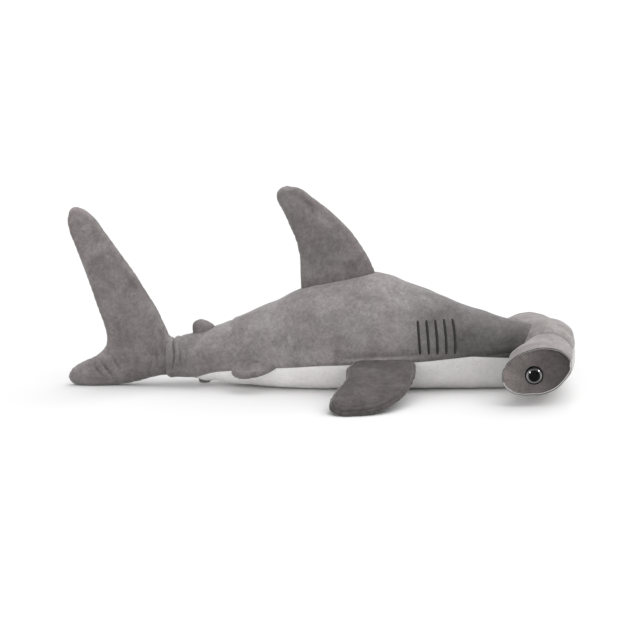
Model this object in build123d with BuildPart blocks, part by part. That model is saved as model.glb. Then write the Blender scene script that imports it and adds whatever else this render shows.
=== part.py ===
"""Plush hammerhead shark, lying on its belly: sewn short-pile panels over stuffing.

Millimetres.  +X points from the tail to the head, +Y to the shark's left and +Z up.
Z = 0 is the surface that it lies on, and X = Y = 0 is the middle of its outline box.
Soft pieces are plain closed solids.  Each sewn seam that flexes is a hinge with a
rounded root, so that the pieces on its two sides never touch.
"""

from build123d import *
import math
import os

os.makedirs("parts", exist_ok=True)

# ---------------------------------------------------------------- driving dimensions
cloth = 2.0  # short-pile fabric with its backing
slack = 0.15  # between a skin and the stuffing inside it
gap = 0.6  # free space where two moving bodies pass each other
big = 400.0  # larger than any piece, for cutting blocks

# Body stations from tail to head: x, half width, height of the widest line, top, bottom.
# A bottom below zero is trimmed flat where the belly lies on the surface.
body_stations = (
    (-170, 12, 27, 43, 13),
    (-150, 15.5, 28, 48.5, 10.5),
    (-114, 20.5, 30, 57, 8.5),
    (-80, 28, 33, 69.5, 3),
    (-45, 36.5, 36, 85, -2),
    (-15, 43, 38, 99.5, -3),
    (20, 48, 40, 108, -3),
    (55, 49, 41, 115, -3),
    (95, 46, 41, 103, -3),
    (145, 40, 39, 82.5, -3),
    (195, 33.5, 36, 66, -3),
    (232, 26, 34, 59, 1),
)
body_seam_height = 26.5  # grey meets white here at X = 0
body_seam_slope = 0.075

# Hammer stations from the middle to the end of a wing: y, x, z, half length, half
# height and the tilt that lifts the leading edge, in degrees.
hammer_stations = (
    (0, 227.3, 36, 27, 32.5, 0),
    (34, 225, 35.5, 27, 27, 8),
    (62, 219.5, 35, 30, 24, 14),
    (84, 215.5, 34, 32.5, 22, 17),
)
wing_end = 89.0  # Y of the flat of an end panel
head_seam_height = 40.0  # grey meets white here at the neck
head_seam_slope = 0.17

# Hinge lines of the bends: place, radius of the rounded root and half the total swing.
bend_x, bend_radius, bend_swing = -92.0, 26.0, 20.0
tail_x, tail_radius, tail_swing = -150.0, 16.0, 35.0
nod_x, nod_z, nod_radius, nod_swing = 198.0, 33.0, 33.6, 12.0

# Fin stations from root to tip: trailing edge, leading edge and full thickness.
dorsal_stations = (
    ((-16, 0, 109), (52, 0, 124.5), 15),
    ((-16, 0, 127), (44, 0, 141), 14),
    ((-21, 0, 149), (31, 0, 160), 13),
    ((-28, 0, 169), (12, 0, 177.5), 12),
    ((-35, 0, 184), (-5, 0, 192), 11),
    ((-36, 0, 196), (-19, 0, 200.5), 7),
)
second_dorsal_stations = (
    ((-126.5, 0, 58.3), (-105.5, 0, 64.2), 8),
    ((-125, 0, 63), (-106, 0, 67), 8),
    ((-119.5, 0, 69.2), (-110.5, 0, 69.6), 5.5),
)
anal_stations = (
    ((-121, 0, 4.9), (-106.5, 0, 4.7), 4.4),
    ((-120, 0, 0.8), (-110, 0, 0.8), 4.2),
)
tail_upper_stations = (
    ((-214, 0, 30), (-158, 0, 34), 22),
    ((-217, 0, 52), (-157, 0, 56), 21.5),
    ((-219, 0, 74), (-162.5, 0, 79), 20),
    ((-227, 0, 104), (-179, 0, 106), 18),
    ((-239.5, 0, 139), (-202, 0, 141), 16),
    ((-246, 0, 163), (-219, 0, 167), 13),
    ((-244, 0, 177), (-233, 0, 179.5), 8),
)
tail_lower_stations = (
    ((-156, 0, 51), (-156, 0, 9.5), 26),
    ((-178, 0, 55), (-178, 0, 5), 23),
    ((-200, 0, 52), (-200, 0, 1.6), 20),
    ((-216, 0, 41), (-216, 0, 0.5), 17),
    ((-230, 0, 29.5), (-230, 0, 0.5), 15),
    ((-245, 0, 22), (-245, 0, 1.5), 13),
    ((-254, 0, 16), (-254, 0, 6), 8),
)
pectoral_stations = (  # right fin
    ((32, -57, 29.5), (95, -54, 31.5), 12.5),
    ((31, -72, 23.5), (94, -72, 25.5), 12),
    ((24.5, -88.5, 17.5), (89.5, -88.5, 19), 11),
    ((19.5, -104.5, 11.5), (81, -104.5, 12.5), 10),
    ((19.8, -116, 7.8), (68, -116, 8.2), 9),
    ((26, -124.5, 4.4), (50, -124.5, 4.6), 7),
)
pelvic_stations = (  # right fin
    ((-83, -32, 23), (-43, -40.5, 25), 6.5),
    ((-83, -39, 19), (-48, -46, 20.5), 8),
    ((-78, -44.5, 15.5), (-60, -48, 16.2), 6),
)

# Eyes and gill stitches
eye_x, eye_z = 212.0, 31.0
eye_radius, eye_dome_height, eye_sphere_radius = 9.0, 4.6, 11.1
post_radius, washer_radius, washer_thickness = 2.4, 7.5, 1.4
gill_count, gill_pitch, gill_first_x = 5, 8.4, 102.5
gill_width, gill_height, gill_z, gill_lean, gill_thickness = 1.9, 33.0, 57.5, 4.0, 0.8


# ---------------------------------------------------------------- shapes used again
def oval(plane, half_width, upper, lower):
    """A face of two half ellipses of one width, upper and lower high."""
    with BuildSketch(plane) as section:
        with BuildLine():
            EllipticalCenterArc((0, 0), half_width, upper, arc_size=180)
            EllipticalCenterArc((0, 0), half_width, lower, 180, arc_size=180)
        make_face()
    return section.sketch


def body_volume(inset):
    """The whole body from the tail's root into the head, shrunk by inset all round."""
    sections = []
    for x, half_width, widest, top, bottom in body_stations:
        plane = Plane(origin=(x, 0, widest), x_dir=(0, 1, 0), z_dir=(1, 0, 0))
        sections.append(
            oval(plane, half_width - inset, top - widest - inset, widest - bottom - inset)
        )
    with BuildPart() as body:
        loft(sections)
        split(bisect_by=Plane.XY.offset(max(inset, 0)), keep=Keep.TOP)
    return body.part


def hammer_volume(inset):
    """The bar of the head, drooping and swept back a little towards its two ends."""
    wings = [(-y, *rest) for y, *rest in reversed(hammer_stations[1:])]
    stations = [*wings, *hammer_stations]
    end_y = wing_end - inset
    ends = {0: -end_y, len(stations) - 1: end_y}
    sections = []
    for i, (y, x, z, half_length, half_height, tilt) in enumerate(stations):
        lean = math.radians(tilt)
        plane = Plane(
            origin=(x, ends.get(i, y), z),
            x_dir=(math.cos(lean), 0, math.sin(lean)),
            z_dir=(0, 1, 0),
        )
        half_height -= inset
        sections.append(oval(plane, half_length - inset, half_height, half_height))
    with BuildPart() as hammer:
        loft(sections)
    return hammer.part


def fin_volume(stations, span, inset):
    """A stuffed fin: lens sections from its root to its tip, which is pulled in by inset."""
    sections = []
    for trailing, leading, thickness in stations:
        chord = Vector(*leading) - Vector(*trailing)
        along = chord.normalized()
        out = (Vector(*span) - along * Vector(*span).dot(along)).normalized()
        middle = (Vector(*leading) + Vector(*trailing)) * 0.5
        if (trailing, leading, thickness) == stations[-1]:
            middle -= out * inset
        half = thickness / 2 - inset
        plane = Plane(origin=middle, x_dir=along, z_dir=out)
        sections.append(oval(plane, chord.length / 2 - inset, half, half))
    with BuildPart() as fin:
        loft(sections)
    return fin.part


def fin_root(stations, shorten=0.12):
    """The round sewn edge at a fin's root, centred on its hinge line."""
    trailing, leading, thickness = stations[0]
    start, end = Vector(*trailing), Vector(*leading)
    chord = end - start
    with BuildPart() as root:
        with BuildSketch(Plane(origin=start + chord * shorten, z_dir=chord)):
            Circle(thickness / 2 - 0.3)
        extrude(amount=chord.length * (1 - 2 * shorten))
    return root.part


def hinge_of(stations):
    """Centre and direction of a fin's hinge line."""
    trailing, leading, _ = stations[0]
    start, end = Vector(*trailing), Vector(*leading)
    return (start + end) * 0.5, (end - start).normalized()


def seat(radius, swing):
    """Radius of the hollow that a rounded root of that radius turns in."""
    return radius / math.cos(math.radians(swing / 2)) + gap


def save(piece, name):
    """Labels a finished piece and writes its own file."""
    piece.part.label = name
    export_step(piece.part, f"parts/{name}.step")


def sloped_plane(x, z, slope):
    """A plane across the shark through (x, z) that rises by slope towards the head."""
    return Plane(origin=(x, 0, z), x_dir=(1, 0, slope), z_dir=(-slope, 0, 1))


body_seam = sloped_plane(0, body_seam_height, body_seam_slope)
head_seam = sloped_plane(nod_x, head_seam_height, head_seam_slope)
left_side, right_side = Keep.BOTTOM, Keep.TOP  # of Plane.XZ, which faces -Y

# ---------------------------------------------------------------- body and tail stock
body_outer = body_volume(0)
body_inner = body_volume(cloth)
body_filling = body_volume(cloth + slack)

with BuildPart() as trunk_space:
    with Locations(((bend_x + nod_x) / 2, 0, 0)):
        Box(nod_x - bend_x, big, big)
    with Locations((bend_x, 0, 0)):
        Cylinder(seat(bend_radius, bend_swing), big, mode=Mode.SUBTRACT)
    with Locations((nod_x, 0, nod_z)):
        Cylinder(
            seat(nod_radius, nod_swing), big, rotation=(90, 0, 0), mode=Mode.SUBTRACT
        )

with BuildPart() as stock_space:
    with Locations(((tail_x + bend_x) / 2, 0, 0)):
        Box(bend_x - tail_x, big, big)
    with Locations((bend_x, 0, 0)):
        Cylinder(bend_radius, big)
    with Locations((tail_x, 0, 0)):
        Cylinder(seat(tail_radius, tail_swing), big, mode=Mode.SUBTRACT)


def skin_and_stuffing(space, prefix, stuffing_name):
    """Two grey side panels, a white belly panel and the stuffing of one stretch of body."""
    for side, keep in (("left", left_side), ("right", right_side)):
        with BuildPart() as back_panel:
            add(body_outer)
            add(body_inner, mode=Mode.SUBTRACT)
            add(space, mode=Mode.INTERSECT)
            split(bisect_by=body_seam, keep=Keep.TOP)
            split(bisect_by=Plane.XZ, keep=keep)
        save(back_panel, f"{prefix}back_panel_{side}")

    with BuildPart() as belly_panel:
        add(body_outer)
        add(body_inner, mode=Mode.SUBTRACT)
        add(space, mode=Mode.INTERSECT)
        split(bisect_by=body_seam, keep=Keep.BOTTOM)
    save(belly_panel, f"{prefix}belly_panel")

    with BuildPart() as stuffing:
        add(body_filling)
        add(space, mode=Mode.INTERSECT)
    save(stuffing, stuffing_name)


skin_and_stuffing(trunk_space.part, "", "body_stuffing")
skin_and_stuffing(stock_space.part, "tail_stock_", "tail_stock_stuffing")

# ---------------------------------------------------------------- gill stitches
gill_shell = body_volume(-gill_thickness)
for side, sign, keep in (("left", 1, left_side), ("right", -1, right_side)):
    with BuildPart() as gill_stitches:
        for i in range(gill_count):
            with Locations((gill_first_x + i * gill_pitch, sign * 50, gill_z)):
                Box(gill_width, 100, gill_height, rotation=(0, -gill_lean, 0))
        add(gill_shell, mode=Mode.INTERSECT)
        add(body_outer, mode=Mode.SUBTRACT)
    save(gill_stitches, f"gill_stitches_{side}")

# ---------------------------------------------------------------- head
with BuildPart() as neck_space:
    with Locations((nod_x + 25, 0, 0)):
        Box(50, big, big)
    with Locations((nod_x, 0, nod_z)):
        Cylinder(nod_radius, big, rotation=(90, 0, 0))


def head_volume(inset, body):
    """The hammer with the stub of neck that turns in the body's front end."""
    with BuildPart() as head:
        add(body)
        add(neck_space.part, mode=Mode.INTERSECT)
        add(hammer_volume(inset))
    return head.part


head_outer = head_volume(0, body_outer)
head_inner = head_volume(cloth, body_inner)

with BuildPart() as wing_ends:
    for sign in (1, -1):
        with Locations((215, sign * (wing_end - cloth / 2 + 25), 35)):
            Box(100, cloth + 50, 100)

with BuildPart() as eye_holes:
    for sign in (1, -1):
        with Locations((eye_x, sign * wing_end, eye_z)):
            Cylinder(post_radius + slack, 40, rotation=(90, 0, 0))

for name, keep in (("head_top_panel", Keep.TOP), ("head_bottom_panel", Keep.BOTTOM)):
    with BuildPart() as head_panel:
        add(head_outer)
        add(head_inner, mode=Mode.SUBTRACT)
        add(wing_ends.part, mode=Mode.SUBTRACT)
        split(bisect_by=head_seam, keep=keep)
    save(head_panel, name)

with BuildPart() as head_stuffing:
    add(head_volume(cloth + slack, body_filling))
    for sign in (1, -1):
        with Locations((eye_x, sign * (wing_end - cloth), eye_z)):
            Cylinder(washer_radius + 1, 24, rotation=(90, 0, 0), mode=Mode.SUBTRACT)
save(head_stuffing, "head_stuffing")

for side, sign, keep in (("left", 1, left_side), ("right", -1, right_side)):
    with BuildPart() as end_panel:
        add(hammer_volume(0))
        add(wing_ends.part, mode=Mode.INTERSECT)
        add(eye_holes.part, mode=Mode.SUBTRACT)
        split(bisect_by=Plane.XZ, keep=keep)
    save(end_panel, f"head_end_panel_{side}")

# ---------------------------------------------------------------- eyes
for side, sign in (("left", 1), ("right", -1)):
    face = Plane(origin=(eye_x, sign * (wing_end + 0.1), eye_z), z_dir=(0, sign, 0))
    backing = 1.2
    with BuildPart() as eye_post:
        with BuildSketch(face):
            Circle(eye_radius)
        extrude(amount=backing)
        with BuildSketch(face):
            Circle(post_radius)
        extrude(amount=-9)
    save(eye_post, f"eye_post_{side}")

    with BuildPart() as eye_dome:
        with Locations(face.offset(backing + eye_dome_height - eye_sphere_radius)):
            Sphere(eye_sphere_radius)
        split(bisect_by=face.offset(backing), keep=Keep.TOP)
    save(eye_dome, f"eye_dome_{side}")

    with BuildPart() as eye_washer:
        with BuildSketch(face.offset(-cloth - 0.5 - washer_thickness)):
            Circle(washer_radius)
            Circle(post_radius + 0.05, mode=Mode.SUBTRACT)
        extrude(amount=washer_thickness)
    save(eye_washer, f"eye_washer_{side}")

# ---------------------------------------------------------------- tail fin
with BuildPart() as knuckle_space:
    with Locations((tail_x, 0, 0)):
        Cylinder(tail_radius, big)


def tail_volume(inset, body):
    """Both lobes of the tail fin and the round end that turns against the tail stock."""
    with BuildPart() as tail:
        add(body)
        add(knuckle_space.part, mode=Mode.INTERSECT)
        add(fin_volume(tail_lower_stations, (-1, 0, 0), inset))
        add(fin_volume(tail_upper_stations, (-0.45, 0, 1), inset))
    return tail.part


tail_outer = tail_volume(0, body_outer)
tail_inner = tail_volume(cloth, body_inner)

for side, keep in (("left", left_side), ("right", right_side)):
    with BuildPart() as tail_fin_panel:
        add(tail_outer)
        add(tail_inner, mode=Mode.SUBTRACT)
        split(bisect_by=Plane.XZ, keep=keep)
    save(tail_fin_panel, f"tail_fin_panel_{side}")

with BuildPart() as tail_fin_stuffing:
    add(tail_volume(cloth + slack, body_filling))
save(tail_fin_stuffing, "tail_fin_stuffing")

# ---------------------------------------------------------------- upright fins
for fin_name, stations, span, stuffed in (
    ("dorsal_fin", dorsal_stations, (0, 0, 1), True),
    ("second_dorsal_fin", second_dorsal_stations, (0, 0, 1), False),
    ("anal_fin", anal_stations, (0, 0, -1), False),
):
    for side, keep in (("left", left_side), ("right", right_side)):
        with BuildPart() as fin_panel:
            add(fin_volume(stations, span, 0))
            add(fin_root(stations))
            if stuffed:
                add(fin_volume(stations, span, cloth), mode=Mode.SUBTRACT)
            split(bisect_by=Plane.XZ, keep=keep)
        save(fin_panel, f"{fin_name}_panel_{side}")

    if stuffed:
        with BuildPart() as fin_stuffing:
            add(fin_volume(stations, span, cloth + slack))
        save(fin_stuffing, f"{fin_name}_stuffing")

# ---------------------------------------------------------------- side fins
for fin_name, stations, stuffed in (
    ("pectoral_fin", pectoral_stations, True),
    ("pelvic_fin", pelvic_stations, False),
):
    centre, along = hinge_of(stations)
    tip = (Vector(*stations[-1][0]) + Vector(*stations[-1][1])) * 0.5
    span = tip - centre
    middle_plane = Plane(origin=centre, x_dir=along, z_dir=span.cross(along))
    for layer, keep in (("upper", Keep.TOP), ("lower", Keep.BOTTOM)):
        with BuildPart() as right_panel:
            add(fin_volume(stations, span, 0))
            add(fin_root(stations))
            if stuffed:
                add(fin_volume(stations, span, cloth), mode=Mode.SUBTRACT)
            split(bisect_by=middle_plane, keep=keep)
        save(right_panel, f"{fin_name}_{layer}_panel_right")

        with BuildPart() as left_panel:
            mirror(right_panel.part, about=Plane.XZ)
        save(left_panel, f"{fin_name}_{layer}_panel_left")

    if stuffed:
        with BuildPart() as right_stuffing:
            add(fin_volume(stations, span, cloth + slack))
        save(right_stuffing, f"{fin_name}_stuffing_right")

        with BuildPart() as left_stuffing:
            mirror(right_stuffing.part, about=Plane.XZ)
        save(left_stuffing, f"{fin_name}_stuffing_left")

# ---------------------------------------------------------------- hinge lines, in mm
for fin_name, stations in (
    ("dorsal_fin", dorsal_stations),
    ("second_dorsal_fin", second_dorsal_stations),
    ("anal_fin", anal_stations),
    ("pectoral_fin_right", pectoral_stations),
    ("pelvic_fin_right", pelvic_stations),
):
    centre, along = hinge_of(stations)
    print(f"{fin_name} hinge at {tuple(centre)} along {tuple(along)}")
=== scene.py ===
import math

import bmesh
import bpy
import numpy as np
from mathutils import Matrix, Vector
from mathutils.bvhtree import BVHTree


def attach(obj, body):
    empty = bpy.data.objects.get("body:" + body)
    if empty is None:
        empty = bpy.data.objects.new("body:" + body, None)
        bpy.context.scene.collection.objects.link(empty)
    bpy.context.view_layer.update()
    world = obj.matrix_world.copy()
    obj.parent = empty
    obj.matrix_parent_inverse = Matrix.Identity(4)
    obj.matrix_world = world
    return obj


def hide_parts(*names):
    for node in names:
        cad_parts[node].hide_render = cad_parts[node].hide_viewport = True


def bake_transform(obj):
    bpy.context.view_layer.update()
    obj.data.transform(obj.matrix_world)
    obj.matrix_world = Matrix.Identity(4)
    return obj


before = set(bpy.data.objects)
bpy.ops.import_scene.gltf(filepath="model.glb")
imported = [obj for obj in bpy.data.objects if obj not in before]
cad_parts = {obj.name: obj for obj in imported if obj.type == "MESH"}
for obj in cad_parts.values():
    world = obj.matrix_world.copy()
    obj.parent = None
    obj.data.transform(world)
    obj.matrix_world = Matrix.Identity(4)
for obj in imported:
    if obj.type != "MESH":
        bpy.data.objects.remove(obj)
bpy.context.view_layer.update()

scene = bpy.context.scene

# Lengths are in millimetres until a mesh is made.
MM = 0.001
X, Y, Z = 0, 1, 2
cloth = 1.6                       # thickness of the plush with its pile pressed down
fin_cloth = 0.8                   # the same at the fins, where it is stretched thin
cut_merge = 0.35                  # points closer than this along a cut become one
grid_step = 1.6                   # spacing of the fine grids


# ---------------------------------------------------------------- small helpers

def smoothstep(value, start, end):
    t = np.clip((value - start) / (end - start), 0, 1)
    return t * t * (3 - 2 * t)


def bump(value, centre, width):
    """1 at the centre, falling smoothly to 0 over about twice the width."""
    return np.exp(-(((value - centre) / width) ** 2))


def through(knots, values, at):
    """A smooth curve through one row of values per knot, read at the places in at."""
    knots = np.asarray(knots, float)
    values = np.asarray(values, float).reshape(len(knots), -1)
    slope = np.gradient(values, knots, axis=0)
    i = np.clip(np.searchsorted(knots, at) - 1, 0, len(knots) - 2)
    gap = (knots[i + 1] - knots[i])[:, None]
    t = (np.asarray(at) - knots[i])[:, None] / gap
    return ((1 + 2 * t) * (1 - t) ** 2 * values[i] + t * (1 - t) ** 2 * gap * slope[i]
            + t * t * (3 - 2 * t) * values[i + 1] + t * t * (t - 1) * gap * slope[i + 1])


def lumps(points, size, seed, waves=14):
    """Smooth random hills and hollows about size across, between about -1 and 1."""
    random = np.random.default_rng(seed)
    direction = random.normal(size=(waves, 3))
    direction /= np.linalg.norm(direction, axis=1)[:, None]
    pitch = 2 * math.pi / (size * random.uniform(0.7, 1.6, waves))
    phase = random.uniform(0, 2 * math.pi, waves)
    angle = points @ (direction * pitch[:, None]).T + phase
    return np.sin(angle).sum(-1) / math.sqrt(waves)


def above_floor(points, floor=0.5, softness=0.8):
    """Flattens what would lie below the floor, as a soft toy does under its own weight."""
    z = points[..., Z]
    points[..., Z] = floor + softness * np.logaddexp(0, (z - floor) / softness)
    return points


# ---------------------------------------------------------------- meshes

def new_object(name, vertices, faces, smooth=True):
    mesh = bpy.data.meshes.new(name)
    mesh.from_pydata(np.asarray(vertices, float).tolist(), [], np.asarray(faces).tolist())
    mesh.validate()
    if smooth:
        mesh.shade_smooth()
    piece = bpy.data.objects.new(name, mesh)
    scene.collection.objects.link(piece)
    return piece


def grid_quads(rows, columns, first=0):
    index = np.arange(rows * columns).reshape(rows, columns) + first
    return np.stack([index[:-1, :-1], index[1:, :-1], index[1:, 1:], index[:-1, 1:]], -1).reshape(-1, 4)


def grid_normals(grid, closed):
    """Unit normals of a grid of points. A closed grid's last column lies on its first."""
    along = np.gradient(grid, axis=0)
    if closed:
        wrapped = np.concatenate([grid[:, -2:-1], grid, grid[:, 1:2]], axis=1)
        around = (wrapped[:, 2:] - wrapped[:, :-2]) / 2
    else:
        around = np.gradient(grid, axis=1)
    normal = np.cross(along, around)
    return normal / np.maximum(np.linalg.norm(normal, axis=-1), 1e-9)[..., None]


def fabric_panel(name, outer, normals):
    """A cut of cloth: an outer grid, the same grid one thickness further in, and the edges between them."""
    rows, columns = outer.shape[:2]
    inner = outer - normals * cloth
    count = rows * columns
    vertices = np.concatenate([outer.reshape(-1, 3), inner.reshape(-1, 3)])
    outside = grid_quads(rows, columns)
    inside = grid_quads(rows, columns, count)[:, ::-1]
    index = np.arange(count).reshape(rows, columns)
    rim = np.concatenate([index[0, :], index[1:, -1], index[-1, -2::-1], index[-2:0:-1, 0]])
    following = np.roll(rim, -1)
    edge = np.stack([rim, following, following + count, rim + count], -1)
    piece = new_object(name, vertices * MM, np.concatenate([outside, inside, edge]))
    facing = np.concatenate([normals.reshape(-1, 3), -normals.reshape(-1, 3)])
    piece.data.normals_split_custom_set_from_vertices(facing.tolist())
    return piece


def apply_modifiers(piece):
    depsgraph = bpy.context.evaluated_depsgraph_get()
    mesh = bpy.data.meshes.new_from_object(piece.evaluated_get(depsgraph))
    piece.modifiers.clear()
    piece.data = mesh


def read_points(piece):
    flat = np.zeros(len(piece.data.vertices) * 3)
    piece.data.vertices.foreach_get("co", flat)
    return flat.reshape(-1, 3) / MM


def write_points(piece, points):
    piece.data.vertices.foreach_set("co", (points * MM).ravel())
    piece.data.update()


def read_normals(piece):
    flat = np.zeros(len(piece.data.vertices) * 3)
    piece.data.vertices.foreach_get("normal", flat)
    return flat.reshape(-1, 3)


def stuff(piece, held, most, pressure=4.0):
    """Swells a closed mesh like a stuffed toy with a cloth simulation. Points in held stay, and none moves
    further than most."""
    before = read_points(piece)
    group = piece.vertex_groups.new(name="held")
    group.add([int(i) for i in np.flatnonzero(held)], 1.0, "REPLACE")
    cloth_settings = piece.modifiers.new("cloth", "CLOTH").settings
    cloth_settings.use_pressure = True
    cloth_settings.uniform_pressure_force = pressure
    cloth_settings.effector_weights.gravity = 0
    cloth_settings.vertex_group_mass = "held"
    cloth_settings.quality = 5
    for number in range(1, 21):
        scene.frame_set(number)
    evaluated = piece.evaluated_get(bpy.context.evaluated_depsgraph_get())
    flat = np.zeros(len(evaluated.data.vertices) * 3)
    evaluated.data.vertices.foreach_get("co", flat)
    piece.modifiers.clear()
    piece.vertex_groups.clear()
    scene.frame_set(1)
    move = flat.reshape(-1, 3) / MM - before
    length = np.linalg.norm(move, axis=1)
    share = np.minimum(1, most / np.maximum(length, 1e-6))
    write_points(piece, before + move * share[:, None])


# ---------------------------------------------------------------- materials

def shader_of(name):
    material = bpy.data.materials.new(name)
    material.use_nodes = True
    nodes = material.node_tree.nodes
    return material, nodes, material.node_tree.links, nodes["Principled BSDF"]


def noise(nodes, links, where, scale, detail=3.0, roughness=0.6, distortion=0.0):
    texture = nodes.new("ShaderNodeTexNoise")
    texture.inputs["Scale"].default_value = scale
    texture.inputs["Detail"].default_value = detail
    texture.inputs["Roughness"].default_value = roughness
    texture.inputs["Distortion"].default_value = distortion
    links.new(where, texture.inputs["Vector"])
    return texture.outputs["Fac"]


def ramp(nodes, links, value, stops):
    node = nodes.new("ShaderNodeValToRGB")
    elements = node.color_ramp.elements
    while len(elements) < len(stops):
        elements.new(0.5)
    for element, (place, colour) in zip(elements, stops):
        element.position = place
        element.color = (*colour, 1)
    links.new(value, node.inputs["Fac"])
    return node.outputs["Color"]


def mixed(nodes, links, a, b, share, how="MIX"):
    node = nodes.new("ShaderNodeMix")
    node.data_type = "RGBA"
    node.blend_type = how
    for socket, value in ((6, a), (7, b), (0, share)):
        if isinstance(value, (int, float)):
            node.inputs[socket].default_value = value
        else:
            links.new(value, node.inputs[socket])
    return node.outputs[2]


def plush(name, dark, middle, light, tint, sheen=0.55, seed=0.0, bump_strength=0.55, painted_light_contrast=1.0,
          grain=1.0, shade=None):
    """Short-pile plush: patches where the nap lies differently, faint tinted patches, fine tufts, painted
    light where the surface faces up and painted shade where it faces down, and painted shade deep in the
    creases. shade is pairs of x and brightness, from the tail to the head, for painted light and shade along
    the length."""
    material, nodes, links, shader = shader_of(name)
    place = nodes.new("ShaderNodeTexCoord").outputs["Object"]
    shift = nodes.new("ShaderNodeMapping")
    shift.inputs["Location"].default_value = (seed, seed * 0.7, seed * 1.3)
    links.new(place, shift.inputs["Vector"])
    place = shift.outputs["Vector"]
    patches = noise(nodes, links, place, 38, 4.0, 0.62, 0.6)
    tints = noise(nodes, links, place, 24, 2.0, 0.5, 0.4)
    tufts = noise(nodes, links, place, 900, 2.0, 0.6)
    streaks = noise(nodes, links, place, 240, 3.0, 0.6, 0.8)
    nap = ramp(nodes, links, patches, ((0.32, dark), (0.5, middle), (0.68, light)))
    tinted = mixed(nodes, links, nap, ramp(nodes, links, tints, ((0.40, middle), (0.66, tint))), 0.35)
    grey_streaks = ramp(nodes, links, streaks, ((0.34, (0.66,) * 3), (0.66, (1.0,) * 3)))
    grained = mixed(nodes, links, tinted, grey_streaks, 0.75 * grain, "MULTIPLY")
    grey_tufts = ramp(nodes, links, tufts, ((0.35, (0.72,) * 3), (0.62, (1.0,) * 3)))
    tufted = mixed(nodes, links, grained, grey_tufts, 0.55 * grain, "MULTIPLY")
    surface = nodes.new("ShaderNodeNewGeometry")
    turned = nodes.new("ShaderNodeSeparateXYZ")
    links.new(nodes.new("ShaderNodeTexCoord").outputs["Normal"], turned.inputs[0])
    facing_up = nodes.new("ShaderNodeMapRange")
    facing_up.inputs["From Min"].default_value = -1
    links.new(turned.outputs["Z"], facing_up.inputs["Value"])
    # painted light and shade by which way the surface faces: lighter facing up, darker facing down
    levels = ((0.0, 0.62), (0.45, 0.80), (0.6, 0.92), (0.85, 1.12), (1.0, 1.25))
    painted_light_by_facing = ramp(nodes, links, facing_up.outputs["Result"],
                   [(stop, (1 + (level - 1) * painted_light_contrast,) * 3) for stop, level in levels])
    painted_light_and_shade = mixed(nodes, links, tufted, painted_light_by_facing, 1.0, "MULTIPLY")
    # painted shade and painted light along the length, from the shade table, weaker where the surface faces
    # up
    if shade:
        along = nodes.new("ShaderNodeSeparateXYZ")
        links.new(nodes.new("ShaderNodeTexCoord").outputs["Object"], along.inputs[0])
        how_far = nodes.new("ShaderNodeMapRange")
        how_far.inputs["From Min"].default_value = shade[0][0] * MM
        how_far.inputs["From Max"].default_value = shade[-1][0] * MM
        links.new(along.outputs["X"], how_far.inputs["Value"])
        span = shade[-1][0] - shade[0][0]
        stops = [((x - shade[0][0]) / span, (level,) * 3) for x, level in shade]
        less_on_top = ramp(nodes, links, facing_up.outputs["Result"],
                           ((0.7, (1.0,) * 3), (1.0, (0.55,) * 3)))
        shading = ramp(nodes, links, how_far.outputs["Result"], stops)
        painted_light_and_shade = mixed(nodes, links, painted_light_and_shade, shading, less_on_top, "MULTIPLY")
    # painted shade deep in the creases, from the mesh's pointiness
    painted_crease_shade = ramp(nodes, links, surface.outputs["Pointiness"], ((0.43, (0.35,) * 3), (0.493, (1.0,) * 3)))
    links.new(mixed(nodes, links, painted_light_and_shade, painted_crease_shade, 1.0, "MULTIPLY"), shader.inputs["Base Color"])
    rough = nodes.new("ShaderNodeMapRange")
    rough.inputs["To Min"].default_value = 0.82
    rough.inputs["To Max"].default_value = 0.98
    links.new(patches, rough.inputs["Value"])
    links.new(rough.outputs["Result"], shader.inputs["Roughness"])
    shader.inputs["Specular IOR Level"].default_value = 0.15
    shader.inputs["Sheen Weight"].default_value = sheen
    shader.inputs["Sheen Roughness"].default_value = 0.35
    height = mixed(nodes, links, tufts, streaks, 0.45)
    relief = nodes.new("ShaderNodeBump")
    relief.inputs["Strength"].default_value = bump_strength
    relief.inputs["Distance"].default_value = 0.0012
    links.new(height, relief.inputs["Height"])
    links.new(relief.outputs["Normal"], shader.inputs["Normal"])
    return material


# the body's shade table is painted shade: darker at the tail end and from the gills forward to the neck,
# under the hammer
grey = plush("grey_plush", (0.215, 0.197, 0.197), (0.305, 0.284, 0.285), (0.405, 0.384, 0.382),
             (0.325, 0.272, 0.286), painted_light_contrast=0.6,
             shade=((-150, 0.8), (-105, 1.04), (82, 1.04), (112, 0.66), (150, 0.46), (214, 0.24)))
fin_grey = plush("fin_plush", (0.175, 0.159, 0.157), (0.265, 0.244, 0.241), (0.355, 0.333, 0.328),
                 (0.285, 0.231, 0.242), seed=3.1)
# the tail's shade table is painted light: lighter towards the rear of the tail fin
tail_grey = plush("tail_plush", (0.185, 0.167, 0.164), (0.280, 0.257, 0.253), (0.380, 0.355, 0.348),
                  (0.300, 0.245, 0.255), seed=7.3, shade=((-250, 1.12), (-200, 1.0), (-150, 0.9)))
# the pectoral fins' plush is a much darker copy of the grey plush: painted shade
shaded_side_fin_grey = plush("shaded_side_fin_plush", (0.078, 0.070, 0.070), (0.120, 0.108, 0.107), (0.168, 0.154, 0.152),
                      (0.136, 0.106, 0.112), seed=4.4, painted_light_contrast=0.4)
head_grey = plush("head_plush", (0.230, 0.208, 0.205), (0.320, 0.295, 0.290), (0.420, 0.392, 0.386),
                  (0.340, 0.290, 0.298), seed=5.7)
# the end panels' plush is a darker copy of the grey plush as painted shade; its shade table paints light at
# the panel's rear and shade at its front
shaded_end_grey = plush("shaded_end_plush", (0.140, 0.125, 0.120), (0.205, 0.185, 0.178), (0.280, 0.256, 0.248),
                 (0.230, 0.186, 0.190), seed=8.9, shade=((184, 1.5), (212, 0.85), (244, 0.40)))
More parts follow.
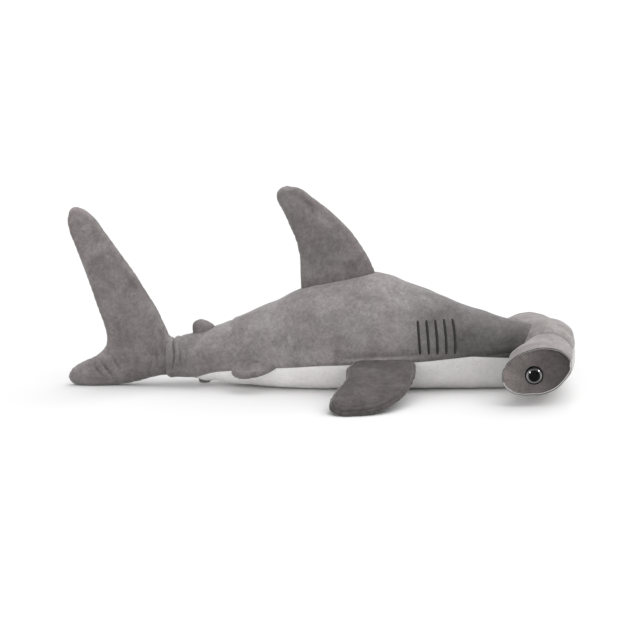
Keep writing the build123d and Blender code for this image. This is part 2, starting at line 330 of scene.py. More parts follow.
# the white's shade table is painted shade: darker towards the head, under the hammer
white = plush("white_plush", (0.80, 0.775, 0.76), (0.88, 0.86, 0.85), (0.93, 0.915, 0.905),
              (0.85, 0.80, 0.80), sheen=0.2, seed=1.9, bump_strength=0.25, painted_light_contrast=0.1, grain=0.35,
              shade=((40, 1.0), (110, 0.85), (214, 0.70)))


def thread_material():
    """Dark satin stitches: fine threads side by side across each line."""
    material, nodes, links, shader = shader_of("gill_thread")
    place = nodes.new("ShaderNodeTexCoord").outputs["Object"]
    wave = nodes.new("ShaderNodeTexWave")
    wave.bands_direction = "Z"
    wave.inputs["Scale"].default_value = 700
    wave.inputs["Distortion"].default_value = 1.2
    wave.inputs["Detail"].default_value = 2
    links.new(place, wave.inputs["Vector"])
    between_threads, on_thread = (0.006, 0.004, 0.004), (0.022, 0.016, 0.017)
    links.new(ramp(nodes, links, wave.outputs["Fac"], ((0.0, between_threads), (1.0, on_thread))),
              shader.inputs["Base Color"])
    rough = nodes.new("ShaderNodeMapRange")
    rough.inputs["To Min"].default_value = 0.45
    rough.inputs["To Max"].default_value = 0.62
    links.new(wave.outputs["Fac"], rough.inputs["Value"])
    links.new(rough.outputs["Result"], shader.inputs["Roughness"])
    relief = nodes.new("ShaderNodeBump")
    relief.inputs["Strength"].default_value = 0.6
    relief.inputs["Distance"].default_value = 0.0003
    links.new(wave.outputs["Fac"], relief.inputs["Height"])
    links.new(relief.outputs["Normal"], shader.inputs["Normal"])
    return material


def eye_material():
    """Black rim, silver-grey iris ring and black pupil by the distance from the eye's axis, under a clear
    coat. The ring gets darker towards the top: painted shade."""
    material, nodes, links, shader = shader_of("eye_dome")
    place = nodes.new("ShaderNodeTexCoord").outputs["Object"]
    flat = nodes.new("ShaderNodeVectorMath")
    flat.operation = "MULTIPLY"
    flat.inputs[1].default_value = (1, 1, 0)
    links.new(place, flat.inputs[0])
    reach = nodes.new("ShaderNodeVectorMath")
    reach.operation = "LENGTH"
    links.new(flat.outputs[0], reach.inputs[0])
    share = nodes.new("ShaderNodeMath")
    share.operation = "DIVIDE"
    share.inputs[1].default_value = eye_radius * MM
    links.new(reach.outputs["Value"], share.inputs[0])
    black = (0.001, 0.001, 0.001)
    rings = ((0.0, black), (0.58, black), (0.64, (0.054, 0.054, 0.055)), (0.72, (0.10, 0.10, 0.102)),
             (0.80, (0.07, 0.07, 0.071)), (0.85, black), (1.0, (0.006, 0.006, 0.007)))
    rays = noise(nodes, links, place, 1400, 2.0)
    iris = mixed(nodes, links, ramp(nodes, links, share.outputs[0], rings),
                 ramp(nodes, links, rays, ((0.3, (0.75,) * 3), (0.7, (1.0,) * 3))), 0.5, "MULTIPLY")
    # painted shade: the iris ring darker towards the top
    level = nodes.new("ShaderNodeSeparateXYZ")
    links.new(place, level.inputs[0])
    height = nodes.new("ShaderNodeMapRange")
    height.inputs["From Min"].default_value = 0.1 * eye_radius * MM
    height.inputs["From Max"].default_value = 0.8 * eye_radius * MM
    height.inputs["To Min"].default_value = 1.0
    height.inputs["To Max"].default_value = 0.12
    links.new(level.outputs["Y"], height.inputs["Value"])
    shaded = mixed(nodes, links, iris, height.outputs["Result"], 1.0, "MULTIPLY")
    links.new(shaded, shader.inputs["Base Color"])
    links.new(ramp(nodes, links, rays, ((0.0, (0.10,) * 3), (1.0, (0.16,) * 3))), shader.inputs["Roughness"])
    shader.inputs["Specular IOR Level"].default_value = 0.0
    shader.inputs["Coat Weight"].default_value = 1.0
    shader.inputs["Coat IOR"].default_value = 1.18
    shader.inputs["Coat Roughness"].default_value = 0.02
    return material


def moulded(name, colour, roughness):
    """Moulded plastic with a faint unevenness."""
    material, nodes, links, shader = shader_of(name)
    place = nodes.new("ShaderNodeTexCoord").outputs["Object"]
    grain = noise(nodes, links, place, 600, 2.0)
    darker = tuple(part * 0.85 for part in colour)
    links.new(ramp(nodes, links, grain, ((0.3, darker), (0.7, colour))), shader.inputs["Base Color"])
    links.new(ramp(nodes, links, grain, ((0.0, (roughness,) * 3), (1.0, (roughness + 0.1,) * 3))),
              shader.inputs["Roughness"])
    return material


# ---------------------------------------------------------------- body

# one row for each cross-section: x, half width, height of the widest place, top, bottom
body_sections = np.array((
    (-170, 12, 27, 43, 12),
    (-150, 15.5, 28, 48.5, 9),
    (-114, 20.5, 30, 57, 8),
    (-80, 28, 33, 69.5, 3),
    (-45, 36.5, 36, 85, -2),
    (-15, 43, 38, 99.5, -3),
    (20, 48, 40, 108, -3),
    (55, 49, 41, 115, -3),
    (95, 46, 41, 103, -3),
    (145, 40, 39, 82.5, -3),
    (195, 33.5, 36, 66, -3),
    (232, 26, 34, 59, 1)), float)
# the seam between grey and white: x and height. Near the tail it turns under the body.
body_seam = np.array((
    (-170, 0), (-150, 0), (-136, 3), (-122, 9), (-112, 13.5), (-100, 17.3), (-84, 20), (-50, 24.2),
    (-17, 27.4), (28, 30.6), (100, 33), (140, 36.5), (214, 42.5), (232, 44)), float)


def seam_at(x):
    """The height of the body's seam at each x."""
    return through(body_seam[:, 0], body_seam[:, 1], np.ravel(x)).reshape(np.shape(x))


# x of the body's rear end, of the seam between its rear and front panels, and of its front end
tail_seam, middle_seam, neck_end = -150.0, 50.0, 214.0
# grid points round one back panel and round the belly panel
back_columns, belly_columns = 74, 62


def body_grid(xs):
    """Points round the body at each x: from the spine down the right side, under the belly and up again."""
    width, widest, top, bottom = through(body_sections[:, 0], body_sections[:, 1:], xs).T
    drop = np.arcsin(np.clip((widest - seam_at(xs)) / (widest - bottom), 0.02, 0.98))
    quarter = math.pi / 2
    share = np.linspace(0, 1, back_columns)
    across = np.linspace(0, 1, belly_columns)
    right = quarter + (-drop - quarter)[:, None] * share
    under = -drop[:, None] + (-math.pi + 2 * drop)[:, None] * across
    left = (-math.pi + drop)[:, None] + (-quarter - drop)[:, None] * share
    angle = np.concatenate([right, under[:, 1:], left[:, 1:]], axis=1)
    rise = np.where(np.sin(angle) > 0, (top - widest)[:, None], (widest - bottom)[:, None])
    y = -width[:, None] * np.cos(angle)
    z = widest[:, None] + rise * np.sin(angle)
    return np.stack([np.broadcast_to(xs[:, None], y.shape), y, z], -1)


def body_details(grid):
    """Hollows and creases of the sewn and stuffed body, as distances inwards (negative) or outwards."""
    x, y, z = grid[..., X], grid[..., Y], grid[..., Z]
    above = z - seam_at(x)
    out = 0.55 * lumps(grid, 46, 11) + 0.22 * lumps(grid, 17, 12)
    out -= 0.9 * bump(above, 0, 1.5) * (np.abs(y) > 4)
    out += 0.5 * bump(above, 4.5, 3.0)
    out -= 0.35 * bump(y, 0, 1.3) * (z > 40)
    side = smoothstep(z, 14, 30) * (1 - 0.4 * smoothstep(z, 44, 54))
    # the folds in front of the tail fin: x, how far each bows, its depth and its width
    gathers = ((-143.5, 0.8, 2.4, 1.3), (-137.5, 0.5, 1.2, 1.7), (-130, -0.4, 0.8, 2.2),
               (-119, -0.6, 0.6, 3.0))
    for where, bow, depth, wide in gathers:
        wander = 0.4 * np.sin(z * 0.31 + where) + bow * 3 * ((z - 33) / 18) ** 2
        out -= depth * bump(x + wander, where, wide) * side
    out += 0.9 * bump(x, -148, 2.2) + 0.8 * bump(x, -140.5, 1.8) * side
    out -= 0.7 * bump(x + 0.3 * (z - 60), -84, 2.2) * smoothstep(z, 52, 66)
    out += 0.5 * bump(x + 0.3 * (z - 60), -79, 3.0) * smoothstep(z, 52, 66)
    out -= 0.8 * bump(x + 0.35 * (z - 40), -30, 7) * bump(z, 48, 16)
    dorsal_root = bump(z, 114 + 0.22 * (x - 18), 7) * smoothstep(x, -24, -14) * (1 - smoothstep(x, 48, 60))
    out -= 1.3 * bump(np.abs(y), 7.5, 3) * dorsal_root
    root_height = 35.5 + 0.05 * (x - 66)
    beside = smoothstep(x, 22, 36) * (1 - smoothstep(x, 98, 110))
    out -= 1.4 * bump(z, root_height + 4, 3.2) * beside * (np.abs(y) > 20)
    out += 3.5 * bump(x, -114, 9) * bump(y, 0, 9) * (z < 20)
    return out


xs_rear = np.linspace(tail_seam, middle_seam, int((middle_seam - tail_seam) / grid_step) + 1)
xs_front = np.linspace(middle_seam, neck_end, int((neck_end - middle_seam) / grid_step) + 1)
xs = np.concatenate([xs_rear, xs_front[1:]])
skin = body_grid(xs)
normals = grid_normals(skin, closed=True)
outward = np.sign(normals[len(xs) // 2, back_columns // 2, Y]) * -1
normals = normals * outward
skin = skin + normals * body_details(skin)[..., None]
skin = above_floor(skin)

# the rear end turns in under the tail fin's root
centre_of_end = np.array((0, 0, 29.5))
hem_rings = ((-4.0, 0.84), (1.5, 0.90), (1.9, 0.955))      # how far each ring lies back, and its scale
hem = []
for step_back, shrink in hem_rings:
    ring = skin[0].copy()
    ring[:, Y:] = centre_of_end[Y:] + (ring[:, Y:] - centre_of_end[Y:]) * shrink
    ring[:, X] = tail_seam - step_back
    hem.append(ring)
skin = np.concatenate([np.array(hem), skin])
normals = grid_normals(skin, closed=True) * outward
middle = len(xs_rear) - 1 + len(hem)

first, last = back_columns - 1, back_columns + belly_columns - 2
spans = {"right": slice(0, first + 1), "belly": slice(first, last + 1), "left": slice(last, None)}


def body_panels():
    made = {}
    for part, columns in spans.items():
        for end, rows in (("rear", slice(0, middle + 1)), ("front", slice(middle, None))):
            name = f"{end}_belly_skin" if part == "belly" else f"{end}_back_skin_{part}"
            outer = skin[rows, columns]
            direction = normals[rows, columns]
            if outward < 0:
                outer, direction = outer[:, ::-1], direction[:, ::-1]
            piece = fabric_panel(name, outer, direction)
            piece.data.materials.append(white if part == "belly" else grey)
            if end == "rear":
                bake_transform(piece)
            else:
                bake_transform(piece)
            made[name] = piece
    return made


body = body_panels()
for side in ("left", "right"):
    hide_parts(f"back_panel_{side}")
    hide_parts(f"tail_stock_back_panel_{side}")
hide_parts("belly_panel", "body_stuffing")
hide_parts("tail_stock_belly_panel", "tail_stock_stuffing")


# ---------------------------------------------------------------- fins

def closed_curve(points, spacing=1.5):
    """A smooth closed line through a few points."""
    points = np.asarray(points, float)
    count = len(points)
    wrapped = np.concatenate([points[-3:], points, points[:4]])
    knots = np.concatenate([[0], np.cumsum(np.linalg.norm(np.diff(wrapped, axis=0), axis=1) ** 0.75)])
    places = np.linspace(knots[3], knots[3 + count], 1200, endpoint=False)
    line = through(knots, wrapped, places)
    length = np.concatenate([[0], np.cumsum(np.linalg.norm(np.diff(line, axis=0), axis=1))])
    even = np.linspace(0, length[-1], int(length[-1] / spacing), endpoint=False)
    return np.stack([np.interp(even, length, line[:, k]) for k in range(2)], -1)


def distance_inside(points, outline):
    """Each point's distance to the nearest place on a closed outline."""
    start, step = outline, np.roll(outline, -1, axis=0) - outline
    best = np.full(len(points), 1e9)
    for (ax, ay), (dx, dy) in zip(start, step):
        rx, ry = points[:, 0] - ax, points[:, 1] - ay
        t = np.clip((rx * dx + ry * dy) / (dx * dx + dy * dy + 1e-12), 0, 1)
        best = np.minimum(best, np.hypot(rx - t * dx, ry - t * dy))
    return best


def pillow(name, outline, thickness, voxel=2.2, held=None, most=2.5, plate=1.6, pressure=4.0):
    """A flat shape sewn from two cloths and stuffed. outline is in the fin's own plane (u, v), and thickness
    gives the half thickness and the roundness of the edge for each point."""
    line = closed_curve(outline)
    count = len(line)
    low = np.column_stack([line, np.full(count, -plate)])
    high = np.column_stack([line, np.full(count, plate)])
    index = np.arange(count)
    after = np.roll(index, -1)
    faces = np.stack([index, after, after + count, index + count], -1).tolist()
    faces.append(index[::-1].tolist())
    faces.append((index + count).tolist())
    mesh = bpy.data.meshes.new(name)
    mesh.from_pydata((np.concatenate([low, high]) * MM).tolist(), [], faces)
    piece = bpy.data.objects.new(name, mesh)
    scene.collection.objects.link(piece)
    remesh = piece.modifiers.new("remesh", "REMESH")
    remesh.mode = "VOXEL"
    remesh.voxel_size = voxel * MM
    apply_modifiers(piece)
    points = read_points(piece)
    inside = distance_inside(points[:, :2], line)
    half, edge = thickness(points[:, 0], points[:, 1])
    crown = np.sqrt(1 - (1 - np.clip(inside / edge, 0, 1)) ** 2)
    side = np.clip(points[:, 2] / plate, -1, 1)
    points[:, 2] = side * (0.5 + (half - 0.5) * crown)
    write_points(piece, points)
    pinned = inside < 0.8 if held is None else (inside < 0.8) | held(points[:, 0], points[:, 1])
    stuff(piece, pinned, most, pressure)
    piece.modifiers.new("smooth", "SUBSURF").levels = 1
    apply_modifiers(piece)
    return piece, line


def place(piece, origin, across, up):
    """Puts a piece made in its own plane into the object: u lies along across, v along up, and the thickness
    along their normal."""
    across = np.array(across, float) / np.linalg.norm(across)
    up = np.array(up, float) - across * (np.array(up, float) @ across)
    up /= np.linalg.norm(up)
    axes = np.stack([across, up, np.cross(across, up)])
    write_points(piece, read_points(piece) @ axes + np.array(origin, float))


def halves(piece, names, at=0.0):
    """Cuts a piece made in its own plane into its two cloths, at a height above the middle plane. Each is a
    layer of cloth and not a solid."""
    made = []
    for name, sign in zip(names, (1, -1)):
        half = piece.copy()
        half.data = piece.data.copy()
        half.name = name
        half.data.name = name
        scene.collection.objects.link(half)
        shape = bmesh.new()
        shape.from_mesh(half.data)
        everything = shape.verts[:] + shape.edges[:] + shape.faces[:]
        bmesh.ops.bisect_plane(shape, geom=everything, plane_co=(0, 0, at * MM), plane_no=(0, 0, sign),
                               clear_inner=True)
        bmesh.ops.remove_doubles(shape, verts=shape.verts, dist=cut_merge * MM)
        shape.to_mesh(half.data)
        shape.free()
        layer = half.modifiers.new("layer", "SOLIDIFY")
        layer.thickness = fin_cloth * MM
        layer.offset = -1
        apply_modifiers(half)
        half.data.shade_smooth()
        made.append(half)
    bpy.data.objects.remove(piece)
    return made


def fin_details(piece, line, seam=0.0, seed=1, lump=0.35, hem=0.0):
    """The groove along the edge seam, the unevenness of the stuffing and the stitched hem."""
    points = read_points(piece)
    normal = read_normals(piece)
    inside = distance_inside(points[:, :2], line)
    out = lump * (lumps(points, 26, seed) + 0.4 * lumps(points, 11, seed + 1)) * smoothstep(inside, 1, 9)
    out -= 0.6 * bump(points[:, 2], seam, 0.9) * (inside < 12)
    out += 0.3 * bump(inside, 4.5, 2.0)
    out -= hem * bump(inside, 6.5, 1.1)
    write_points(piece, points + normal * out[:, None])


def finish_fin(parts, materials, slots, nodes):
    """Gives a fin's two cloths their materials, flattens them above the floor and hides the parts they stand
    for.
    """
    for part, material, slot, stands_for in zip(parts, materials, slots, nodes):
        part.data.materials.clear()
        part.data.materials.append(material)
        points = above_floor(read_points(part), 0.4, 0.5)
        write_points(part, points)
        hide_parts(*stands_for)
        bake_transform(part)


# the tail fin's outline as x and z: leading edge down, into the stock, lower lobe, notch, trailing edge up
tail_outline = (
    (-237.5, 183), (-223.5, 175), (-210, 156.5), (-195.5, 135), (-182.5, 116), (-171.5, 97), (-160.5, 78),
    (-153.5, 62), (-147, 49.5), (-134, 46), (-134, 13), (-148, 10.5), (-164, 8.5), (-180, 4.0), (-200, 0),
    (-222, -2), (-241, -2), (-251.5, 1.5), (-255.5, 8), (-250.5, 18), (-239, 25), (-227, 30.5), (-217.5, 38),
    (-214, 47), (-215.8, 60), (-220.9, 76), (-227.6, 98), (-234.5, 120), (-242.2, 142), (-248.2, 160),
    (-248.7, 173), (-244.5, 182))


def tail_thickness(x, z):
    """Thickest at the root, thinner at the tips of both lobes."""
    from_root = smoothstep(x, -205, -150)
    half = 8.8 + 5.2 * from_root - 2.2 * smoothstep(x, -160, -152)
    half = half - 2.6 * smoothstep(z, 120, 180) - 2.0 * smoothstep(-x, 225, 252)
    edge = 17 + 3 * from_root - 5 * smoothstep(z, 120, 180)
    return half, edge


tail, tail_line = pillow("tail_fin", tail_outline, tail_thickness, held=lambda x, z: x > -156)
points, normal = read_points(tail), read_normals(tail)
u, v = points[:, 0], points[:, 1]
# x, z, slope, depth, width and length of each fold in the plush
creases = ((-213.5, 18, 0.75, 1.9, 1.7, 10),
           (-222.5, 16.5, 0.75, 1.3, 1.6, 7),
           (-204, 24, 0.7, 0.9, 2.0, 9),
           (-168, 22, -0.3, 1.1, 1.8, 14),
           (-161, 33, 0.1, 1.0, 1.6, 15),
           (-190, 90, 0.5, 0.7, 3.5, 18))
fold = np.zeros(len(points))
for cx, cz, slope, depth, wide, reach in creases:
    across_fold = ((u - cx) + slope * (v - cz)) / math.hypot(1, slope)
    along_fold = (slope * (u - cx) - (v - cz)) / math.hypot(1, slope)
    fold -= depth * bump(across_fold, 0, wide) * bump(along_fold, 0, reach)
write_points(tail, points + normal * fold[:, None])
fin_details(tail, tail_line, seed=21, lump=0.5)
tail_halves = halves(tail, ("tail_fin_skin_right", "tail_fin_skin_left"))
for half in tail_halves:
    place(half, (0, 0, 0), (1, 0, 0), (0, 0, 1))
finish_fin(tail_halves, (tail_grey, tail_grey), ("grey_plush",) * 2,
           (("tail_fin_panel_right", "tail_fin_stuffing"), ("tail_fin_panel_left",)))


def upright_fin(name, outline, half, edge, seed, nodes, most=2.0):
    """A fin in the middle plane, with its outline as x and z."""
    def thickness(x, z):
        return np.full(len(x), half), np.full(len(x), edge)

    low = min(point[1] for point in outline)
    piece, line = pillow(name, outline, thickness, held=lambda x, z: z < low + 8, most=most)
    fin_details(piece, line, seed=seed)
    parts = halves(piece, (f"{name}_skin_right", f"{name}_skin_left"))
    for part in parts:
        place(part, (0, 0, 0), (1, 0, 0), (0, 0, 1))
    finish_fin(parts, (fin_grey, fin_grey), ("grey_plush",) * 2, nodes)


upright_fin("dorsal_fin",
            ((-14, 92), (52, 100), (59.5, 112), (54.8, 126), (45.4, 143), (34.6, 158), (23.5, 170),
             (11.5, 180.5), (-2, 191), (-12.5, 199), (-22, 202), (-31, 202), (-38, 196.5), (-38, 187),
             (-32.3, 176), (-26.3, 162), (-20.3, 147), (-17, 130), (-16.5, 110)),
            7.6, 19, 31,
            (("dorsal_fin_panel_right", "dorsal_fin_stuffing"), ("dorsal_fin_panel_left",)))
upright_fin("second_dorsal_fin",
            ((-124, 50), (-105, 52), (-102, 60), (-107, 65.3), (-114, 68.3), (-120.5, 68.3), (-126, 64),
             (-127, 57)),
            4.6, 8, 41,
            (("second_dorsal_fin_panel_right",), ("second_dorsal_fin_panel_left",)), most=1.2)
upright_fin("anal_fin",
            ((-121, 14), (-109.5, 14), (-107.5, 5), (-110, 1.7), (-114.5, 0.9), (-119.5, 1.0), (-122.5, 4)),
            2.2, 5, 51,
            (("anal_fin_panel_right",), ("anal_fin_panel_left",)), most=0.8)


def paired_fin(name, outline, origin, across, out, half, edge, seam, seed, materials, slots,
               most=2.0):
    """A fin on each side. outline is x and the distance out from the root, on the right side. origin is on
    the right side too."""
    def thickness(u, v):
        return half * (0.78 + 0.22 * smoothstep(v, 0, 16)), np.full(len(u), edge)

    for side, mirror in (("right", 1), ("left", -1)):
        piece, line = pillow(f"{name}_{side}", outline, thickness, held=lambda u, v: v < 6, most=most)
        fin_details(piece, line, seam, seed, hem=0.45 if name == "pectoral_fin" else 0.0)
        lower, upper = halves(piece, (f"{name}_lower_skin_{side}", f"{name}_upper_skin_{side}"), seam)
        parts = (upper, lower)
        flip = np.array((1, mirror, 1))
        for part in parts:
            place(part, origin, across, out)
            if mirror < 0:
                write_points(part, read_points(part) * flip)
                part.data.flip_normals()
        finish_fin(parts, materials, slots,
                   ((f"{name}_upper_panel_{side}",), (f"{name}_lower_panel_{side}",)))
        if name == "pectoral_fin":
            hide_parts(f"{name}_stuffing_{side}")


pectoral_droop = math.radians(20.5)
pectoral_out = (0, -math.cos(pectoral_droop), -math.sin(pectoral_droop))
paired_fin("pectoral_fin",
           ((38, -15), (97, -15), (100.5, 0), (99, 16), (95, 32), (89, 46), (80.5, 58), (70.5, 67.5),
            (58, 73.5), (45, 76.5), (31, 77), (22, 72), (18, 62.5), (19.5, 51), (23, 39), (28, 28),
            (31.5, 18), (31.5, 9), (31, 1), (36, -8)),
           (0, -55.5, 28.8), (1, 0, 0), pectoral_out, 5.8, 14, -2.6, 61,
           (shaded_side_fin_grey, shaded_side_fin_grey), ("grey_plush", "grey_plush"))

pelvic_droop = math.radians(36)
pelvic_out = (0, -math.cos(pelvic_droop), -math.sin(pelvic_droop))
paired_fin("pelvic_fin",
           ((24, -12), (-17, -12), (-20.5, 0), (-19, 8.5), (-12, 13), (-2, 13.8), (8, 11.5), (17, 7),
            (25, 0.5), (29, -6)),
           (-63, -33.5, 24.5), (1, -0.16, 0.04), pelvic_out, 5.0, 8, 1.2, 71,
           (fin_grey, white), ("grey_plush", "white_plush"), most=1.0)


# ---------------------------------------------------------------- hammer

# y, x, z, half length, half height, tilt with the leading edge up
hammer_sections = np.array((
    (0, 227.8, 36, 27, 32, 0),
    (34, 225.5, 35.2, 27, 26.2, 8),
    (62, 219.0, 34.5, 30.5, 23.6, 14),
    (84, 212.7, 33.6, 32.7, 21.9, 17)), float)
# the head lies rolled and turned a little, its right wing up and forwards
hammer_roll, hammer_yaw = 0.01, 0.036
wing_end = 89.0                   # distance of an end panel from the middle
# the seam between grey and white round the head: x and height
head_seam = np.array(((180, 37.0), (198, 40.0), (222, 43.5), (238, 42.5), (252, 39.5)), float)
top_columns, bottom_columns = 62, 58


def hammer_sections_at(y):
    """The cross-sections at each y. The last slope carries on to the wing's end."""
    mirrored = np.concatenate([hammer_sections[:0:-1] * (-1, 1, 1, 1, 1, 1), hammer_sections])
    last, before = mirrored[-1], mirrored[-2]
    ends = last + (last - before) * (wing_end - last[0]) / (last[0] - before[0])
    table = np.concatenate([[ends * (-1, 1, 1, 1, 1, 1)], mirrored, [ends]])
    return through(table[:, 0], table[:, 1:], y).T


def hammer_ring(x, z, length, height, tilt, angle):
    """A point of the oval cross-section, as x and z."""
    turn = np.radians(tilt)
    along, up = length * np.cos(angle), height * np.sin(angle)
    return x + along * np.cos(turn) - up * np.sin(turn), z + along * np.sin(turn) + up * np.cos(turn)


def seam_angles(x, z, length, height, tilt):
    """Where the head's seam crosses a cross-section, at its leading and its trailing side."""
    angle = np.linspace(-math.pi / 2, 3 * math.pi / 2, 721)
    px, pz = hammer_ring(x, z, length, height, tilt, angle)
    above = pz > through(head_seam[:, 0], head_seam[:, 1], px)
    first_above = int(np.argmax(above))
    last_above = len(above) - 1 - int(np.argmax(above[::-1]))
    return angle[first_above], angle[last_above]


def hammer_grid(ys):
    rows = []
    for y, x, z, length, height, tilt in zip(ys, *hammer_sections_at(ys)):
        lead, trail = seam_angles(x, z, length, height, tilt)
        over = np.linspace(lead, trail, top_columns)
        under = np.linspace(trail, lead + 2 * math.pi, bottom_columns)[1:]
        angle = np.concatenate([over, under])
        px, pz = hammer_ring(x, z, length, height, tilt, angle)
        rows.append(np.stack([px - hammer_yaw * y, np.full_like(px, y), pz - hammer_roll * y], -1))
    return np.array(rows)


def hammer_details(grid):
    x, y, z = grid[..., X], grid[..., Y], grid[..., Z]
    side = np.abs(y)
    out = 0.45 * lumps(grid, 34, 81) + 0.2 * lumps(grid, 14, 82)
    out -= 0.8 * bump(z - through(head_seam[:, 0], head_seam[:, 1], x.ravel()).reshape(x.shape), 0, 1.4)
    facing = smoothstep(x, 196, 214) * smoothstep(z, 34, 52)
    crease_at = 31 + 0.12 * (x - 214)
    out -= (1.7 * bump(side, crease_at, 6.0) + 1.3 * bump(side, crease_at, 1.8)) * facing
    out += 3.5 * bump(x, 248, 10) * bump(z, 54, 14) * bump(side, 0, 22)
    out += 4.8 * bump(side, 70, 12) * bump(x, 197, 16) * smoothstep(z, 36, 46)
    out -= 0.5 * bump(side, wing_end - 9 + 0.05 * (x - 214), 1.8) * smoothstep(z, 40, 50)
    return out


ys = np.linspace(-wing_end, wing_end, int(2 * wing_end / grid_step) + 1)
bar = hammer_grid(ys)
bar_normals = grid_normals(bar, closed=True)
bar_outward = np.sign(bar_normals[len(ys) // 2, top_columns // 2, Z])
bar_normals = bar_normals * bar_outward
bar = above_floor(bar + bar_normals * hammer_details(bar)[..., None])


def turned_in(ring, side):
    """The wing's end, rolled over into the groove round the end panel."""
    middle_of_ring = ring[:-1].mean(0)
    rolled = []
    for outwards, shrink in ((0.5, 0.993), (0.7, 0.980), (0.0, 0.965), (-2.5, 0.955)):
        turn = middle_of_ring + (ring - middle_of_ring) * shrink
        turn[:, Y] = ring[:, Y] + side * outwards
        rolled.append(turn)
    return np.array(rolled)


end_ring = {"left": bar[-1].copy(), "right": bar[0].copy()}
bar = np.concatenate([turned_in(bar[0], -1)[::-1], bar, turned_in(bar[-1], 1)])
bar_normals = grid_normals(bar, closed=True) * bar_outward
for name, columns, material, slot, stands_for in (
        ("head_top_skin", slice(0, top_columns), head_grey, "grey_plush", ("head_top_panel",)),
        ("head_bottom_skin", slice(top_columns - 1, None), white, "white_plush",
         ("head_bottom_panel", "head_stuffing"))):
    outer, direction = bar[:, columns], bar_normals[:, columns]
    if bar_outward < 0:
        outer, direction = outer[:, ::-1], direction[:, ::-1]
    piece = fabric_panel(name, outer, direction)
    piece.data.materials.append(material)
    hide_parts(*stands_for)
    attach(piece, "head")

eye_x, eye_z = 212.0, 31.0
eye_radius = 9.0
dome_height, sphere_radius = 4.6, 11.1
eye_sunk = 0.4                    # how far the eye's rim is pulled into the panel
eye_look = eye_material()
panel_rings = 40


def end_panel(side, sign):
    """The oval panel at a wing's end, a little crowned, and pressed in round the eye."""
    ring = end_ring[side]
    centre = ring[:-1].mean(0)
    shares = np.linspace(0.976, 0.02, panel_rings)
    grid = centre + (ring - centre) * shares[:, None, None]
    crown = -0.5 + 1.7 * (1 - (shares / shares[0]) ** 6)
    from_eye = np.hypot(grid[..., X] - eye_x, grid[..., Z] - eye_z)
    pressed = 1.5 * (1 - smoothstep(from_eye, eye_radius - 1, eye_radius + 8))
    level = wing_end + crown[:, None] - pressed + 0.3 * lumps(grid, 20, 91)
    grid[..., Y] = sign * level
    direction = np.broadcast_to(np.array((0.0, sign, 0.0)), grid.shape)
    made = grid_normals(grid, closed=True)
    if made[panel_rings // 2, 10, Y] * sign < 0:
        grid = grid[:, ::-1]
    piece = fabric_panel(f"head_end_skin_{side}", grid, direction)
    piece.data.materials.append(shaded_end_grey)
    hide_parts(f"head_end_panel_{side}")
    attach(piece, "head")


def eye(side, sign):
    """A domed plastic eye with a rounded rim, turned about its own axis."""
    dome_rise = np.linspace(0, math.asin(eye_radius / sphere_radius), 22)
    profile = [(sphere_radius * math.sin(a), sphere_radius * (math.cos(a) - 1) + dome_height)
               for a in dome_rise]
    rim_and_back = ((0.25, -0.5), (0.1, -1.1), (-1.0, -1.8))
    profile += [(eye_radius + wider, height) for wider, height in rim_and_back]
    profile += [(2.0, -1.9), (0.0, -1.9)]
    turns = np.linspace(0, 2 * math.pi, 65)
    grid = np.array([[(r * math.cos(t), r * math.sin(t), h) for t in turns] for r, h in profile])
    vertices = grid.reshape(-1, 3)
    piece = new_object(f"eye_{side}", vertices * MM, grid_quads(*grid.shape[:2]))
    shape = bmesh.new()
    shape.from_mesh(piece.data)
    bmesh.ops.remove_doubles(shape, verts=shape.verts, dist=1e-6)
    bmesh.ops.recalc_face_normals(shape, faces=shape.faces)
    shape.to_mesh(piece.data)
    shape.free()
    piece.data.materials.append(eye_look)
    piece.matrix_world = (Matrix.Translation(Vector((eye_x, sign * (wing_end - eye_sunk), eye_z)) * MM)
                          @ Matrix.Rotation(-sign * math.pi / 2, 4, "X")
                          @ Matrix.Rotation(math.pi if sign > 0 else 0, 4, "Z"))
    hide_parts(f"eye_dome_{side}", f"eye_post_{side}")
    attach(piece, "head")


washer_look = moulded("eye_washer", (0.75, 0.75, 0.72), 0.5)
for side, sign in (("right", -1), ("left", 1)):
    end_panel(side, sign)
    eye(side, sign)
    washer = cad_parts[f"eye_washer_{side}"]
    washer.data.materials.clear()
    washer.data.materials.append(washer_look)


# ---------------------------------------------------------------- gill stitches

gill_count, gill_pitch, gill_first_x = 5, 8.4, 102.5
gill_width, gill_height, gill_z = 2.7, 33.0, 57.5
gill_lean = 4.5                   # degrees from upright, the top towards the tail
thread = thread_material()


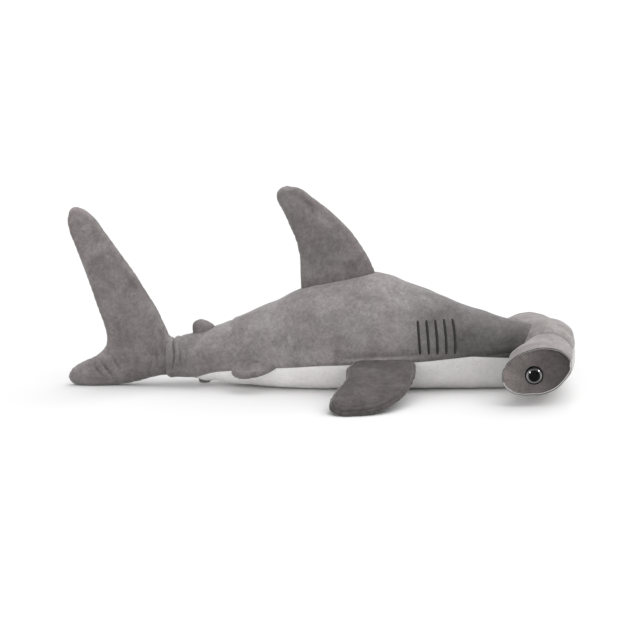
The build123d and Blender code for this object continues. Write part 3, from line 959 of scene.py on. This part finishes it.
def gill_stitches(side, sign):
    """Five raised lines of satin stitch that follow the skin."""
    source = body[f"front_back_skin_{side}"]
    surface = BVHTree.FromObject(source, bpy.context.evaluated_depsgraph_get())
    rows, columns = 60, 9
    vertices, faces = [], []
    for number in range(gill_count):
        middle_x = gill_first_x + number * gill_pitch
        slant = math.tan(math.radians(gill_lean))
        ring_of = []
        for t in np.linspace(-1, 1, rows):
            height = gill_z + t * gill_height / 2
            x = middle_x - slant * (height - gill_z) + 1.6 * number / gill_count * (1 - t * t)
            full = math.sqrt(max(0, 1 - abs(t) ** 14))
            hit, normal, _, _ = surface.ray_cast(Vector((x, sign * 100, height)) * MM, Vector((0, -sign, 0)))
            centre = np.array(hit) / MM
            normal = np.array(normal)
            ribs = 0.9 + 0.1 * math.sin(t * rows * 1.9)
            line = []
            for a in np.linspace(0, 2 * math.pi, columns, endpoint=False):
                across = math.cos(a) * gill_width / 2 * full * ribs
                rise = 0.2 + math.sin(a) * 0.75 * full * ribs
                line.append(centre + np.array((1.0, 0, 0)) * across + normal * rise)
            ring_of.append(line)
        first_vertex = len(vertices)
        vertices += [point for line in ring_of for point in line]
        for i in range(rows - 1):
            for j in range(columns):
                k = (j + 1) % columns
                a, b = first_vertex + i * columns, first_vertex + (i + 1) * columns
                faces.append([a + j, b + j, b + k, a + k][::-sign])
    piece = new_object(f"gill_stitching_{side}", np.array(vertices) * MM, faces)
    piece.data.materials.append(thread)
    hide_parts(f"gill_stitches_{side}")
    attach(piece, "trunk")


gill_stitches("right", -1)
gill_stitches("left", 1)


# ---------------------------------------------------------------- floor, light and camera

floor_material, floor_nodes, floor_links, floor_shader = shader_of("floor")
floor_shader.inputs["Base Color"].default_value = (0.92, 0.92, 0.92, 1)
floor_shader.inputs["Roughness"].default_value = 0.9
reach = 60.0
floor = new_object("floor", [(-reach, -reach, 0), (reach, -reach, 0), (reach, reach, 0), (-reach, reach, 0)],
                   [[0, 1, 2, 3]], smooth=False)
floor.data.materials.append(floor_material)

world = bpy.data.worlds.new("studio")
world.use_nodes = True
world.node_tree.nodes["Background"].inputs["Color"].default_value = (1, 1, 1, 1)
world.node_tree.nodes["Background"].inputs["Strength"].default_value = 0.52
scene.world = world


def lamp(name, kind, place_at, aim, strength, **settings):
    light = bpy.data.lights.new(name, kind)
    light.energy = strength
    for setting, value in settings.items():
        setattr(light, setting, value)
    holder = bpy.data.objects.new(name, light)
    holder.location = place_at
    holder.rotation_euler = (Vector(place_at) - Vector(aim)).to_track_quat("Z", "Y").to_euler()
    scene.collection.objects.link(holder)
    return holder


eyes_only = bpy.data.collections.new("eyes_only")
for side in ("left", "right"):
    eyes_only.objects.link(bpy.data.objects[f"eye_{side}"])
middle_of_shark = (0, 0, 0.05)
lamp("key", "SUN", (0.7, 0.1, 1.4), middle_of_shark, 1.9, angle=math.radians(75))
lamp("fill", "SUN", (-0.5, -1.2, 0.5), middle_of_shark, 0.8, angle=math.radians(80))
for name, place_at, strength in (("catchlight_left", (-0.83, -1.13, 0.65), 55),
                                 ("catchlight_right", (1.40, -0.72, 0.91), 55)):
    catchlight = lamp(name, "AREA", place_at, (0.212, -0.092, 0.031), strength, size=0.26)
    catchlight.light_linking.receiver_collection = eyes_only

camera_azimuth, camera_elevation, camera_roll = math.radians(4.5), math.radians(11.5), math.radians(1.0)
camera_distance, camera_aim = 1.75, Vector((0.00294, 0, 0.0667))
back = Vector((math.sin(camera_azimuth) * math.cos(camera_elevation),
               -math.cos(camera_azimuth) * math.cos(camera_elevation), math.sin(camera_elevation)))
level = Vector((math.cos(camera_azimuth), math.sin(camera_azimuth), 0))
upright = back.cross(level)
right = level * math.cos(camera_roll) - upright * math.sin(camera_roll)
up = upright * math.cos(camera_roll) + level * math.sin(camera_roll)
lens = bpy.data.cameras.new("camera")
lens.sensor_width = 36
lens.lens = 98.4375
camera = bpy.data.objects.new("camera", lens)
camera.matrix_world = Matrix.Translation(camera_aim + back * camera_distance) @ Matrix(
    (right, up, back)).transposed().to_4x4()
scene.collection.objects.link(camera)
scene.camera = camera

scene.view_settings.view_transform = "Standard"
scene.view_settings.look = "None"
